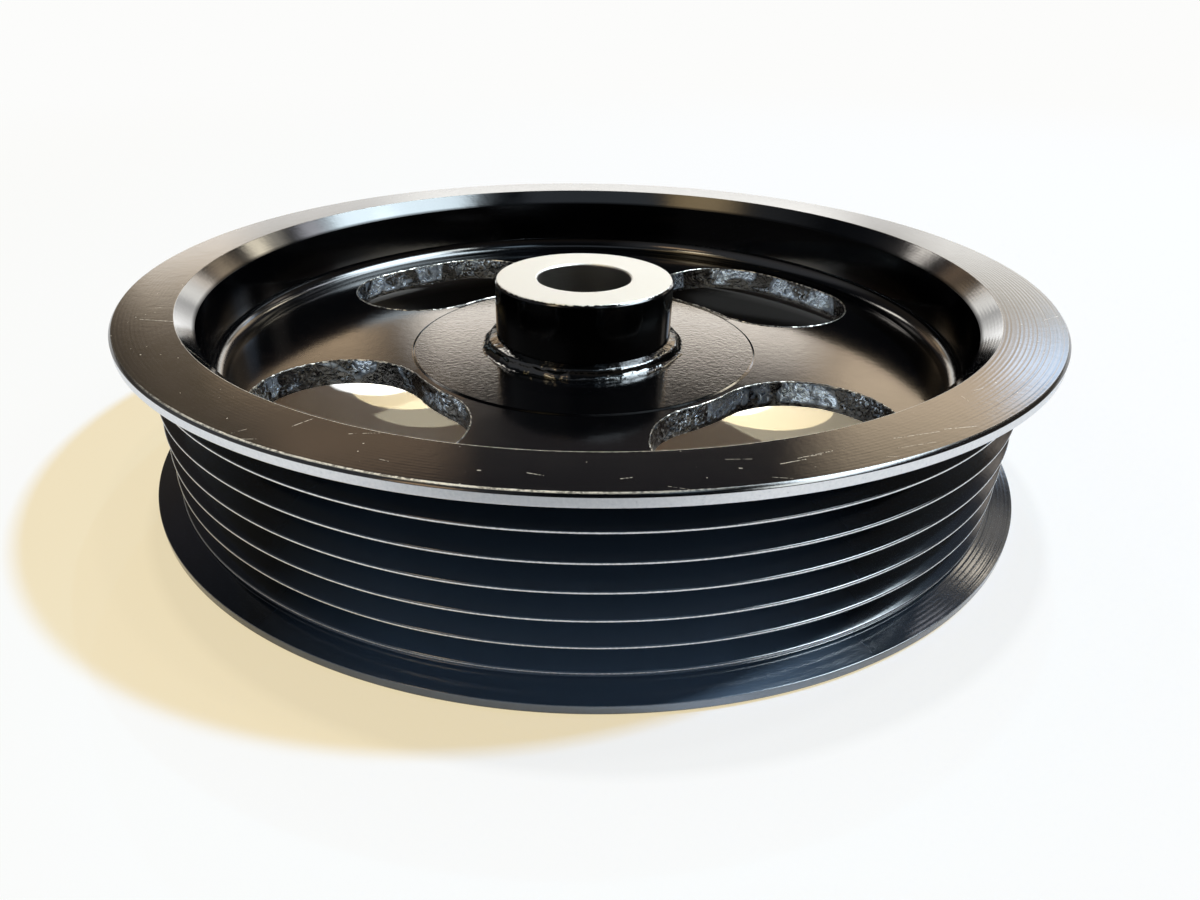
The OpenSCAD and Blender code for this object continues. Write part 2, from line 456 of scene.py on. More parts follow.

# %% [markdown]
# ## Worn edges, painted edge highlights, scratches and chips
#
# Both edges of the front face carry a hair-thin pale line, which is paint worn off and also a
# painted highlight of the edge's tiny rounding. It is painted most on the near side. It is beaded
# and broken, so it is drawn as a band of radii that noise breaks up, not as a ring of its own. The
# smallest chips are too many to place, so a Voronoi texture scatters them: one in five of its cells
# holds a speck.

# %% The enamel: the worn edges of the flange faces, with their painted highlight
patchy = add(tree, NOISE, {"Vector": place, "Scale": 0.22, "Detail": 2.0})
edges = []
for edge, half_width, seen in (
    (MOUTH_R, 0.08, facing(270, 0.7, 0.95, 0.1, 1)),
    (FLANGE_R - EDGE_CHAMFER, 0.13, facing(257, 0.86, 0.97, 0.06, 1)),
):
    off_edge = add(tree, MATH, (worn_r, edge), "SUBTRACT")
    near_edge = add(tree, MATH, (off_edge,), "ABSOLUTE")
    line = add(tree, RANGE, (near_edge, half_width, half_width / 2))
    edges.append(add(tree, MATH, (line, seen), "MULTIPLY"))
inner_edge, outer_edge = edges
beads = add(tree, RANGE, (fine, 0.40, 0.56, 0.3, 1))
stretches = add(tree, RANGE, (patchy, 0.47, 0.60))
beaded = add(tree, MATH, (beads, stretches), "MAXIMUM")
outer_edge = add(tree, MATH, (outer_edge, beaded), "MULTIPLY")
print("worn lines at radii", MOUTH_R, "and", FLANGE_R - EDGE_CHAMFER, "mm")

# %% The enamel: scratches and chips
marks = []
for start, end, half_width, strength in SCRATCHES:
    marks.append(add(tree, "ShaderNodeGroup", (
        place, start, end, half_width, strength), {"node_tree": scratch}))
broken = add(tree, RANGE, (fine, 0.38, 0.52))
pale_marks = add(tree, MATH, (join(tree, MATH, "MAXIMUM", *marks), broken), "MULTIPLY")

# A cell is 0.77 mm wide, and a chip's radius is a share of that: at most 0.12, which is 0.09 mm
CHIP_MIN, CHIP_MAX, CHIPLESS = 0.04, 0.12, 0.80
cells = add(tree, "ShaderNodeTexVoronoi", {"Vector": place, "Scale": 1.3})
lots = add(tree, "ShaderNodeSeparateColor", (cells.outputs["Color"],))
size = add(tree, RANGE, (lots.outputs[1], 0, 1, CHIP_MIN, CHIP_MAX))
inside = add(tree, MATH, (cells.outputs["Distance"], size), "LESS_THAN")
drawn = add(tree, MATH, (lots.outputs[0], CHIPLESS), "GREATER_THAN")
handled = add(tree, RANGE, (patchy, 0.46, 0.56))
deep = add(tree, RANGE, (lots.outputs[2], 0, 1, 0.15, 0.9))
chips = join(tree, MATH, "MULTIPLY", inside, drawn, handled, deep)
on_face = add(tree, MATH, (side_z, MIDDLE_Z - 0.12), "GREATER_THAN")
# The edge lines are worn paint and a painted highlight together
worn_and_highlit_edges = join(tree, MATH, "MAXIMUM", inner_edge, outer_edge, chips)
worn_and_highlit_edges = add(tree, MATH, (worn_and_highlit_edges, on_face), "MULTIPLY")
pale_marks = add(tree, MATH, (worn_and_highlit_edges, pale_marks), "MAXIMUM")
print(len(marks), "scratches drawn, and a chip in", round(100 * (1 - CHIPLESS)), "% of the cells")

# %% [markdown]
# ## Marks of the lathe, and of the spray
#
# A lathe tool moves out by its feed at each turn and leaves a fine spiral, seen as rings. The real
# ones are finer than a pixel here, so they are drawn half a millimetre apart, just coarse enough to
# show. As geometry they would take millions of faces for a depth of two thousandths of a
# millimetre, so they are bump. They are deepest to the right, where the wheel ran out of true.
# Across them lie short waves from the tool's shaking and the paint's orange peel, and the pad round
# the hub is pitted from hammering.

# %% The enamel: the tool's rings
FEED, RING_DEPTH, PLAIN_DEPTH = 0.5, 0.0022, 0.12
run = add(tree, MATH, (height, 0.6, radius), "MULTIPLY_ADD")
phase = add(tree, MATH, (run, 2 * math.pi / FEED), "MULTIPLY")
ring = add(tree, MATH, (phase,), "SINE")
each = add(tree, NOISE, {"W": run, "Scale": 1.6, "Detail": 2.0}, {"noise_dimensions": "1D"})
depth = add(tree, RANGE, (each, 0.3, 0.7, 0.3 * RING_DEPTH, 1.4 * RING_DEPTH))
on_flange = add(tree, RANGE, (side_z, MIDDLE_Z - 2.6, MIDDLE_Z - 2.0, PLAIN_DEPTH, 1.0))
run_out = facing(-17, 0.85, 0.97, 0.35, 1.7)
outward = add(tree, RANGE, (radius, MOUTH_R, MOUTH_R + 4, 0.4, 1))
rings = join(tree, MATH, "MULTIPLY", ring, depth, on_flange, run_out, outward)
print("rings", FEED, "mm apart and up to", round(1.4 * 1.7 * RING_DEPTH, 4), "mm deep")

# %% The enamel: chatter, orange peel and the pitted pad
CHATTER, PEEL, PITS = 0.0035, 0.005, 0.015
chatter = add(tree, NOISE, {"Vector": place, "Scale": 2.4, "Detail": 2.0})
chatter = add(tree, RANGE, (chatter, 0, 1, 0, CHATTER))
peel = add(tree, NOISE, {"Vector": place, "Scale": 0.8, "Detail": 1.0})
peel = add(tree, RANGE, (peel, 0, 1, 0, PEEL))
pits = add(tree, NOISE, {"Vector": place, "Scale": 1.5, "Detail": 4.0, "Distortion": 0.6})
pits = add(tree, RANGE, (pits, 0, 1, 0, PITS))
on_pad = add(tree, RANGE, (radius, PAD_R + 0.1, PAD_R - 0.1))
pits = add(tree, MATH, (pits, on_pad), "MULTIPLY")
relief = join(tree, MATH, "ADD", rings, chatter, peel, pits)
bump = add(tree, "ShaderNodeBump", {"Height": relief, "Distance": MM})
print("chatter", CHATTER, "mm, orange peel", PEEL, "mm, pits", PITS, "mm")

# %% [markdown]
# ## Colour, gloss, painted sheen and painted shade
#
# Black paint is never pure black: this is a very dark blue, warmer in patches. Among the grooves
# the colour is painted with a bluish sheen, which stands in for blue light reflected there,
# strongest low down and on the near side. On the steep recess wall, and on the near side of the
# pad's step, a matt black shader is mixed in as painted shade, because roughness alone would still
# leave a sheen there.

# %% The enamel: colour, gloss and metal
GLOSS, DULLER, BARE_ROUGH = 0.09, 0.14, 0.34
soot = add(tree, MIX, {"Factor": coarse, "A": "#020305", "B": "#050506"}, COLOURS)
steel = add(tree, MIX, {"Factor": fine, "A": "#cdd1d6", "B": "#eeeff0"}, COLOURS)
# A painted bluish sheen among the grooves, strongest low down and on the near side
past_mouth = add(tree, RANGE, (radius, MOUTH_R + 0.1, MOUTH_R + 0.2))
under_face = add(tree, RANGE, (side_z, MIDDLE_Z - 0.3, MIDDLE_Z - 0.5))
low_down = add(tree, RANGE, (height, 24, 3, 0.15, 1))
blue_groove_sheen = join(tree, MATH, "MULTIPLY", past_mouth, under_face, low_down,
             facing(273, 0.84, 0.96, 0.12, 1))
colour = add(tree, MIX, {"Factor": blue_groove_sheen, "A": soot, "B": "#4a5b6e"}, COLOURS)
colour = add(tree, MIX, {"Factor": bare, "A": colour, "B": steel}, COLOURS)
# Scratches, chips and worn edge lines are pale; on the edge lines the pale colour is also a painted
# highlight
colour = add(tree, MIX, {"Factor": pale_marks, "A": colour, "B": "#ece2cf"}, COLOURS)
gloss = add(tree, RANGE, (coarse, 0, 1, GLOSS, DULLER))
unpainted = add(tree, MATH, (bare, pale_marks), "MAXIMUM")
rough = add(tree, MIX, {"Factor": unpainted, "A": gloss, "B": BARE_ROUGH})
feed(tree, shader, {
    "Base Color": colour, "Roughness": rough, "Metallic": bare, "Normal": bump, "IOR": ENAMEL_IOR})
print("enamel roughness", GLOSS, "to", DULLER, "and bare steel", BARE_ROUGH)

# %% The enamel: painted shade on the recess wall and the pad's step
WALL_SHADE, STEP_SHADE = 0.75, 0.97
wall_in = add(tree, RANGE, (radius, WALL_R - 0.25, WALL_R - 0.05))
wall_out = add(tree, RANGE, (radius, WALL_R + 0.4, WALL_R + 0.1))
off_web = add(tree, RANGE, (side_z, 2.2, 5.5))
on_wall = join(tree, MATH, "MULTIPLY", wall_in, wall_out, off_web, WALL_SHADE)
step_in = add(tree, RANGE, (radius, PAD_R - 0.55, PAD_R - 0.45))
step_out = add(tree, RANGE, (radius, PAD_R + 0.2, PAD_R + 0.1))
in_step = join(tree, MATH, "MULTIPLY", step_in, step_out, facing(270, 0.6, 0.85, 0, STEP_SHADE))
painted_shade = add(tree, MATH, (on_wall, in_step), "MAXIMUM")
# A matt black shader mixed in as painted shade, which takes the reflections away there
shade_black = add(tree, "ShaderNodeBsdfDiffuse", ("#030304",))
mixed = add(tree, "ShaderNodeMixShader", (painted_shade, shader, shade_black))
feed(tree, tree.nodes["Material Output"], {"Surface": mixed})
print("enamel:", len(tree.nodes), "nodes")

# %% [markdown]
# ## Black enamel over torn steel
#
# The windows are punched, not turned. A punch shears the first part of the thickness and tears the
# rest, so the same paint breaks into small wet-looking glints on their walls, with smears of rubbed
# steel. That bare steel is tinted blue, a painted blue cast in its reflections. The large lumps are
# geometry, made below with the windows. The tears between them, a third of a millimetre deep, are
# too many for a mesh, so they are bump.

# %% Paint on the window walls
TEAR_DEPTH, SHEARED = 0.35, 0.9
torn, tree, shader, place, radius, height = new_finish("black_enamel_over_torn_steel")
tear, thin, patches, smears = (
    add(tree, NOISE, {"Vector": place, "Scale": scale, "Detail": detail, "Distortion": twist})
    for scale, detail, twist in (
        (1.0, 4.0, 1.0), (2.0, 5.0, 0.8), (0.18, 1.0, 0.0), (0.13, 2.0, 0.8)))
specks = add(tree, MATH, (
    add(tree, RANGE, (thin, 0.53, 0.58)), add(tree, RANGE, (patches, 0.48, 0.60))), "MULTIPLY")
smears_and_sheen = add(tree, MATH, (
    add(tree, RANGE, (smears, 0.50, 0.57, 0, 0.95)),
    add(tree, RANGE, (tear, 0.34, 0.48, 0.25, 1))), "MULTIPLY")
above_shear = add(tree, RANGE, (height, WEB_REAR + SHEARED, WEB_REAR + SHEARED - 0.4, 1, 0))
bare = add(tree, MATH, (specks, smears_and_sheen), "MAXIMUM")
bare = add(tree, MATH, (bare, above_shear), "MULTIPLY")
relief = add(tree, RANGE, (tear, 0, 1, 0, TEAR_DEPTH))
bump = add(tree, "ShaderNodeBump", {"Height": relief, "Distance": MM})
# The bare steel's blue tint is a painted blue cast in its reflections
colour = add(tree, MIX, {"Factor": bare, "A": "#040507", "B": "#a9b8ca"}, COLOURS)
rough = add(tree, MIX, {"Factor": bare, "A": 0.10, "B": 0.24})
feed(tree, shader, {
    "Base Color": colour, "Roughness": rough, "Metallic": bare, "Normal": bump, "IOR": ENAMEL_IOR})
print("torn walls:", len(tree.nodes), "nodes, tears up to", TEAR_DEPTH, "mm deep")

# %% [markdown]
# ## Bare turned steel
#
# The hub's ends were faced after painting and its bore was reamed, so both are clean steel, and the
# side between kept its paint. One material holds both, because the border runs at a radius. Facing
# leaves rings too fine to see one by one; they are drawn a third of a millimetre apart and very
# shallow, just enough to soften the reflection. Little light reaches the bore, so its steel is
# written darker.

# %% The hub's finish: bare ends and bore, painted side
BARE_UNDER, BORDER, HUB_WANDER = 0.25, 0.07, 0.25
HUB_RING, HUB_RING_DEPTH, IN_BORE = 0.33, 0.0008, 7.3
hub_finish, tree, shader, place, radius, height = new_finish(
    "bare_turned_steel_with_enamelled_side")
fine = add(tree, NOISE, {"Vector": place, "Scale": 2.5, "Detail": 4.0})
shift = add(tree, RANGE, (fine, 0, 1, -HUB_WANDER, HUB_WANDER))
worn_r = add(tree, MATH, (radius, shift), "ADD")
bare = add(tree, RANGE, (worn_r, HUB_R - BARE_UNDER, HUB_R - BARE_UNDER - BORDER))
phase = add(tree, MATH, (radius, 2 * math.pi / HUB_RING), "MULTIPLY")
ring = add(tree, MATH, (phase,), "SINE")
relief = add(tree, MATH, (ring, HUB_RING_DEPTH), "MULTIPLY")
bump = add(tree, "ShaderNodeBump", {"Height": relief, "Distance": MM})
in_bore = add(tree, MATH, (radius, IN_BORE), "LESS_THAN")
steel = add(tree, MIX, {"Factor": in_bore, "A": "#c2bfb8", "B": "#77746f"}, COLOURS)
colour = add(tree, MIX, {"Factor": bare, "A": "#030303", "B": steel}, COLOURS)
rough = add(tree, MIX, {"Factor": bare, "A": 0.12, "B": 0.45})
feed(tree, shader, {
    "Base Color": colour, "Roughness": rough, "Metallic": bare, "Normal": bump,
    "Specular IOR Level": 0.25})
print("hub's finish: rings", HUB_RING, "mm apart, bare up to radius", HUB_R - BARE_UNDER, "mm")

# %% [markdown]
# ## Burred steel
#
# The punch leaves a ragged lip of steel round each window. Paint hardly holds on so thin an edge,
# so it shows as a broken bright line: spots of bare steel, in stretches of some millimetres.

# %% The burr's finish
burred, tree, shader, place, *_ = new_finish("burred_steel_edge")
spots = add(tree, NOISE, {"Vector": place, "Scale": 1.6, "Detail": 3.0})
spots = add(tree, RANGE, (spots, 0.45, 0.55))
stretches = add(tree, NOISE, {"Vector": place, "Scale": 0.16, "Detail": 1.0})
stretches = add(tree, RANGE, (stretches, 0.38, 0.5, 0.25, 1))
bare = add(tree, MATH, (spots, stretches), "MULTIPLY")
colour = add(tree, MIX, {"Factor": bare, "A": "#0d0c0b", "B": "#cfccc4"}, COLOURS)
feed(tree, shader, {"Base Color": colour, "Metallic": bare, "Roughness": 0.3})
print("burr's finish:", len(tree.nodes), "nodes")

# %% [markdown]
# ## Enamel over the weld
#
# The bead is a chain of frozen puddles under the same paint, which fills the small ripples, so it
# is the glossiest part of the pulley. The puddles are geometry, and only the ripples on them, a
# millimetre apart, are bump.

# %% The weld's finish
RIPPLE = 0.10
weld_finish, tree, shader, place, *_ = new_finish("black_enamel_over_weld")
ripple = add(tree, NOISE, {"Vector": place, "Scale": 0.9, "Detail": 2.0})
relief = add(tree, RANGE, (ripple, 0, 1, 0, RIPPLE))
bump = add(tree, "ShaderNodeBump", {"Height": relief, "Distance": MM})
feed(tree, shader, {
    "Base Color": "#040404", "Roughness": 0.10, "Normal": bump, "IOR": ENAMEL_IOR})
print("weld's finish: ripples up to", RIPPLE, "mm high")

# %% [markdown]
# ## The wheel, turned
#
# The real blank is turned before its windows are punched, and the script keeps that order, because
# the punch needs a closed solid to cut. It has 480 sides, so its outline shows no corners.

# %% The wheel, turned
turned = grow(wheel_section, lathe, {"Sides": 480, "Material": enamel})
print("turned:", len(turned.polygons), "faces")

# %% [markdown]
# ## The windows
#
# Four kidney-shaped windows lighten the web. A press punches them, so they are cut with a solid of
# the punch's form, whose skin noise has moved about: the wall that it leaves is as rough as torn
# steel. The web could be modelled with its holes from the start, but its rings of faces would then
# have to follow each window. The cut faces carry a mark, and the tree's last node gives only those
# the torn finish.

# %% The window's outline, in mm
WINDOW_PITCH_R, WINDOW_END_R, WINDOW_HALF = 40.2, 12.3, math.radians(8.5)


def arc_points(centre, radius, first, last, side=0.4):
    """Points on an arc, the last one left out, about side mm apart."""
    count = max(2, round(abs(last - first) * radius / side))
    angles = first + (last - first) * np.arange(count) / count
    return np.array(centre) + radius * np.stack([np.cos(angles), np.sin(angles)], 1)


# A stretch of ring about the X axis, closed by a round end on either side
half = WINDOW_HALF
far = WINDOW_PITCH_R * np.array([math.cos(half), math.sin(half)])
kidney = np.concatenate([
    arc_points((0, 0), WINDOW_PITCH_R + WINDOW_END_R, -half, half),
    arc_points(far, WINDOW_END_R, half, half + math.pi),
    arc_points((0, 0), WINDOW_PITCH_R - WINDOW_END_R, half, -half),
    arc_points(far * (1, -1), WINDOW_END_R, math.pi - half, 2 * math.pi - half),
])
window = closed_curve("window_outline", np.column_stack([kidney * MM, np.zeros(len(kidney))]))
print("window outline:", len(kidney), "points")


# %% The tree that punches the windows
def round_the_axis(tree, count, shape):
    """Nodes that stand count copies of a shape round the axis, half a step on from +X."""
    spots = add(tree, "GeometryNodePoints", {"Count": count})
    copies = add(tree, "GeometryNodeInstanceOnPoints", {"Points": spots, "Instance": shape})
    half_on = add(tree, MATH, (add(tree, "GeometryNodeInputIndex"), 0.5), "ADD")
    share = add(tree, MATH, (half_on, count), "DIVIDE")
    angle = add(tree, MATH, (share, 2 * math.pi), "MULTIPLY")
    turn = add(tree, "ShaderNodeCombineXYZ", {"Z": angle})
    placed = add(tree, "GeometryNodeRotateInstances", {"Instances": copies, "Rotation": turn})
    return add(tree, "GeometryNodeRealizeInstances", (placed,))


def roughen(tree, shape, noise, amount):
    """Nodes that move each point of a shape by a noise's colour, as much as amount each way."""
    middle = add(tree, VECTOR, (noise.outputs["Color"], (0.5, 0.5, 0.5)), "SUBTRACT")
    move = add(tree, VECTOR, {0: middle, "Scale": amount}, "SCALE")
    return add(tree, "GeometryNodeSetPosition", {"Geometry": shape, "Offset": move})


punch, given, result = new_tree("Punch windows", [
    ("Outline", "NodeSocketObject", None),
    ("Count", "NodeSocketInt", 4),
    ("Low", "NodeSocketFloat", (WEB_REAR - 1) * MM),
    ("High", "NodeSocketFloat", (WEB_FRONT + 1) * MM),
    ("Roughness", "NodeSocketFloat", 0.34 * MM),
    ("Material", "NodeSocketMaterial", None),
])
outline = add(punch, "GeometryNodeObjectInfo", {"Object": given["Outline"]})
low = add(punch, "ShaderNodeCombineXYZ", {"Z": given["Low"]})
high = add(punch, "ShaderNodeCombineXYZ", {"Z": given["High"]})
stroke = add(punch, "GeometryNodeCurvePrimitiveLine", {"Start": low, "End": high})
steps = add(punch, "GeometryNodeResampleCurve", {"Curve": stroke, "Count": 16})
cutter = add(punch, "GeometryNodeCurveToMesh", {
    "Curve": steps, "Profile Curve": outline.outputs["Geometry"], "Fill Caps": True})
cutters = round_the_axis(punch, given["Count"], cutter)
lumps = add(punch, NOISE, {"Scale": 0.7 / MM, "Detail": 3.0})
cutters = roughen(punch, cutters, lumps, given["Roughness"])
marked = add(punch, "GeometryNodeStoreNamedAttribute", {
    "Geometry": cutters, "Name": "punched", "Value": True,
}, {"data_type": "BOOLEAN", "domain": "FACE"})
cut = add(punch, "GeometryNodeMeshBoolean", (
    given["Geometry"], marked), {"operation": "DIFFERENCE", "solver": "MANIFOLD"})
punched = add(
    punch, "GeometryNodeInputNamedAttribute", {"Name": "punched"}, {"data_type": "BOOLEAN"})
finish_tree(punch, given, result, cut, punched)

# %% The wheel, punched
wheel = as_piece("wheel", grow(stand("wheel_blank", turned), punch, {
    "Outline": window, "Material": torn}))
faces = np.bincount([p.material_index for p in wheel.data.polygons])
print("faces of each finish:", dict(zip((m.name for m in wheel.data.materials), faces.tolist())))

# %% [markdown]
# ## The burrs
#
# A burr follows the window's edge, so it is a tube along the window's own outline. Noise swells and
# starves it, and a seed keeps it the same at every run. It could be bump on the web, but it stands
# up and catches light from all sides, which only real geometry does.

# %% The burr tree
burr_tree, given, result = new_tree("Burrs", [
    ("Count", "NodeSocketInt", 4),
    ("Height", "NodeSocketFloat", (WEB_FRONT - 0.02) * MM),
    ("Thickness", "NodeSocketFloat", 0.12 * MM),
    ("Raggedness", "NodeSocketFloat", 0.30 * MM),
    ("Seed", "NodeSocketFloat", 3.0),
    ("Material", "NodeSocketMaterial", None),
])
along_edge = add(burr_tree, "GeometryNodeResampleCurve", {
    "Curve": given["Geometry"], "Length": 0.22 * MM}, {"mode": "LENGTH"})
wire = add(burr_tree, "GeometryNodeCurvePrimitiveCircle", {
    "Resolution": 6, "Radius": given["Thickness"]})
swell, shake = (
    add(burr_tree, NOISE, {
        "W": given["Seed"], "Scale": scale / MM, "Detail": 2.0}, {"noise_dimensions": "4D"})
    for scale in (0.9, 1.5))
swell = add(burr_tree, RANGE, (swell, 0.35, 0.65, 0.5, 1.3))
sized = add(burr_tree, "GeometryNodeSetCurveRadius", {"Curve": along_edge, "Radius": swell})
tube = add(burr_tree, "GeometryNodeCurveToMesh", {"Curve": sized, "Profile Curve": wire})
lift = add(burr_tree, "ShaderNodeCombineXYZ", {"Z": given["Height"]})
raised = add(burr_tree, "GeometryNodeSetPosition", {"Geometry": tube, "Offset": lift})
lips = round_the_axis(burr_tree, given["Count"], raised)
ragged = roughen(burr_tree, lips, shake, given["Raggedness"])
finish_tree(burr_tree, given, result, ragged)
burrs = as_piece("window_burrs", grow(window, burr_tree, {"Material": burred}), sharp=180)

# %% [markdown]
# ## The hub
#
# The hub is a plain turned sleeve, pressed on the pump's shaft, with small chamfers that lead the
# shaft in. The same lathe tree turns it, from its own section.

# %% The hub
BORE_R, HUB_LOW, HUB_HIGH, HUB_CHAMFER, BORE_CHAMFER = 7.2, 0.95, 25.85, 0.35, 0.25
BORE_EDGE = 0.08
hub_outline = rounded([
    (BORE_R + BORE_CHAMFER, HUB_LOW, BORE_EDGE),
    (HUB_R - HUB_CHAMFER, HUB_LOW, FINE_EDGE),
    (HUB_R, HUB_LOW + HUB_CHAMFER, FINE_EDGE),
    (HUB_R, HUB_HIGH - HUB_CHAMFER, FINE_EDGE),
    (HUB_R - HUB_CHAMFER, HUB_HIGH, FINE_EDGE),
    (BORE_R + BORE_CHAMFER, HUB_HIGH, BORE_EDGE),
    (BORE_R, HUB_HIGH - BORE_CHAMFER, BORE_EDGE),
    (BORE_R, HUB_LOW + BORE_CHAMFER, BORE_EDGE),
])
hub_section = section_curve("hub_section", hub_outline)
hub = as_piece("hub_sleeve", grow(hub_section, lathe, {"Sides": 256, "Material": hub_finish}))

# %% [markdown]
# ## The weld
#
# The bead is laid in one pass, so it is a ring whose section swells and sinks as the puddle
# advanced. It could be sculpted, but a rule does it as well and can be changed. The lathe turns its
# plain section, and a second tree moves the surface in and out with noise, most where the bead is
# thickest and not at all where it meets the hub.

# %% The bead's section
WELD_W, WELD_H, SUNK = 1.9, 2.15, 0.3
TOE_R, CREST_OF_BEAD = HUB_R + WELD_W + 0.9, (HUB_R + WELD_W * 0.64, PAD_Z + WELD_H * 0.62)
weld_outline = rounded([
    (HUB_R - SUNK, PAD_Z - SUNK, 0),
    (TOE_R, PAD_Z - SUNK, 0),
    (TOE_R, PAD_Z - 0.03, 0.02),
    (HUB_R + WELD_W * 0.88, PAD_Z - 0.01, 1.3),
    (*CREST_OF_BEAD, 0.6),
    (HUB_R + 0.05, PAD_Z + WELD_H * 0.78, 0.3),
    (HUB_R - SUNK, PAD_Z + WELD_H * 0.84, 0),
], side=0.15)
print("weld section:", len(weld_outline), "points")

# %% The tree that lays the bead
bead_tree, given, result = new_tree("Uneven bead", [
    ("Swell", "NodeSocketFloat", 1.5 * MM),
    ("Inner radius", "NodeSocketFloat", HUB_R * MM),
    ("Outer radius", "NodeSocketFloat", (HUB_R + WELD_W) * MM),
    ("Seed", "NodeSocketFloat", 5.0),
    ("Material", "NodeSocketMaterial", None),
])
where = add(bead_tree, "GeometryNodeInputPosition")
flat = add(bead_tree, VECTOR, (where, (1, 1, 0)), "MULTIPLY")
out_r = add(bead_tree, VECTOR, (flat,), "LENGTH")
free = add(bead_tree, RANGE, (out_r, given["Inner radius"], given["Outer radius"]))
puddle = add(bead_tree, NOISE, {
    "W": given["Seed"], "Scale": 0.22 / MM, "Detail": 2.0}, {"noise_dimensions": "4D"})
puddle = add(bead_tree, MATH, (puddle, 0.5), "SUBTRACT")
by = join(bead_tree, MATH, "MULTIPLY", puddle, given["Swell"], free)
out = add(bead_tree, VECTOR, (flat,), "NORMALIZE")
shift = add(bead_tree, VECTOR, {0: out, "Scale": by}, "SCALE")
uneven = add(bead_tree, "GeometryNodeSetPosition", {
    "Geometry": given["Geometry"], "Offset": shift})
finish_tree(bead_tree, given, result, uneven)

# %% The weld, laid
plain_bead = grow(section_curve("weld_section", weld_outline), lathe, {
    "Sides": 360, "Material": weld_finish})
weld = as_piece("weld", grow(stand("weld_blank", plain_bead), bead_tree, {
    "Material": weld_finish}), sharp=60)

# %% [markdown]
# ## What each piece stands for
#
# Wheel, hub and bead each replace the CAD node of the same form, with finer detail, and the burrs
# are a detail of their own. The whole pulley moves as one body, so every piece rides on the root.

# %% What each piece stands for
for piece, node, slot in (
    (wheel, "pulley_wheel", "black_paint"), (hub, "hub", "bare_steel"),
    (weld, "weld_bead", "black_paint"), (burrs, None, "bare_steel"),
):
    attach(piece, "root")
    if node:
        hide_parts(node)
    print(piece.name, "stands for", node or "a detail of its own")

# %% [markdown]
# ## The table
#
# The pulley lies on a white table. Round it the table is a card that glows with a painted cream
# light of its own, and its colour is painted blue, so that the key lamp's light on it from one side
# reads cool and the pulley's shadow on it cream. Farther out it turns into a plain white that needs
# no lamp, for the camera and for reflections. Under the pulley, and for matt surfaces, it is a card
# in the light of the beams, seen through the windows, with a faint painted warm glow in its shade.
# More lamps could make the cream light, but they would light the pulley too, so it is a glow of the
# card's own.

# %% The table's shape and its kinds of ray
TABLE_HALF = 6
mesh = bpy.data.meshes.new("table")
corners = [(-1, -1), (1, -1), (1, 1), (-1, 1)]
mesh.from_pydata([(TABLE_HALF * x, TABLE_HALF * y, 0) for x, y in corners], [], [(0, 1, 2, 3)])
table = stand("table", mesh)
card = bpy.data.materials.new("white_card")
mesh.materials.append(card)
card.use_nodes = True
tree = card.node_tree
tree.nodes.clear()
place = add(tree, "ShaderNodeTexCoord").outputs["Object"]
from_axis = add(tree, VECTOR, (place,), "LENGTH")
ray = add(tree, "ShaderNodeLightPath")
seen = join(tree, MATH, "MAXIMUM", *(
    ray.outputs[f"Is {kind} Ray"] for kind in ("Camera", "Glossy", "Transmission")))
print("table:", 2 * TABLE_HALF, "m wide")

# %% The card under the pulley
# Its colour is twice a real card's, so that the beams can stay weak where they meet the pulley
BOOST = 2
boosted = [BOOST * v for v in linear("#fffcf7")[:3]] + [1]
under = add(tree, "ShaderNodeBsdfDiffuse", (boosted,))
# A faint warm glow of the card's own is painted light in the shade under the pulley
painted_warm_glow = add(tree, "ShaderNodeEmission", ("#42321e",))
under = add(tree, "ShaderNodeAddShader", (under, painted_warm_glow))
print("card under the pulley:", [round(v, 2) for v in boosted[:3]])

# %% The card round the pulley
# Painted shade: the cream glow is a little darker in the nook under the rim, and the card is
# painted dark where the camera's stand would shade it
NOOK, NOOK_REACH = 0.93, 0.04
STAND_AT, STAND_SQUEEZE = (-0.005, -0.15, 0), (0.6, 1, 1)
STAND_IN, STAND_OUT, STAND_LEFT = 0.044, 0.060, 0.30
# The card's own colour is painted blue, so the key lamp's light on it reads cool
cool = add(tree, "ShaderNodeBsdfDiffuse", ("#608fc4",))
corner = add(tree, "ShaderNodeAmbientOcclusion", {"Distance": NOOK_REACH}, {"samples": 8})
nook = add(tree, RANGE, (corner.outputs["AO"], 0, 1, NOOK, 1))
# The cream glow is painted light of the card's own
cream = add(tree, "ShaderNodeEmission", ("#efddb1", nook))
both = add(tree, "ShaderNodeAddShader", (cool, cream))
off = add(tree, VECTOR, (place, STAND_AT), "SUBTRACT")
off = add(tree, VECTOR, (off, STAND_SQUEEZE), "MULTIPLY")
off = add(tree, VECTOR, (off,), "LENGTH")
lit = add(tree, RANGE, (off, STAND_IN, STAND_OUT, STAND_LEFT, 1))

# Two faint painted shadows of the flange, from lamps too weak to be worth a lamp here
SOFT = 0.9
for x, y, left in ((2.5, -7.6, 0.93), (-5.5, -7.0, 0.98)):
    away = add(tree, VECTOR, (place, (x * MM, y * MM, 0)), "DISTANCE")
    shadow = add(tree, RANGE, (away, (FLANGE_R - SOFT) * MM, (FLANGE_R + SOFT) * MM, left, 1))
    lit = add(tree, MATH, (lit, shadow), "MULTIPLY")
unlit = add(tree, "ShaderNodeBsdfDiffuse", ("#3f3f3f",))
around = add(tree, "ShaderNodeMixShader", (lit, unlit, both))
print("card round the pulley:", len(tree.nodes), "nodes")

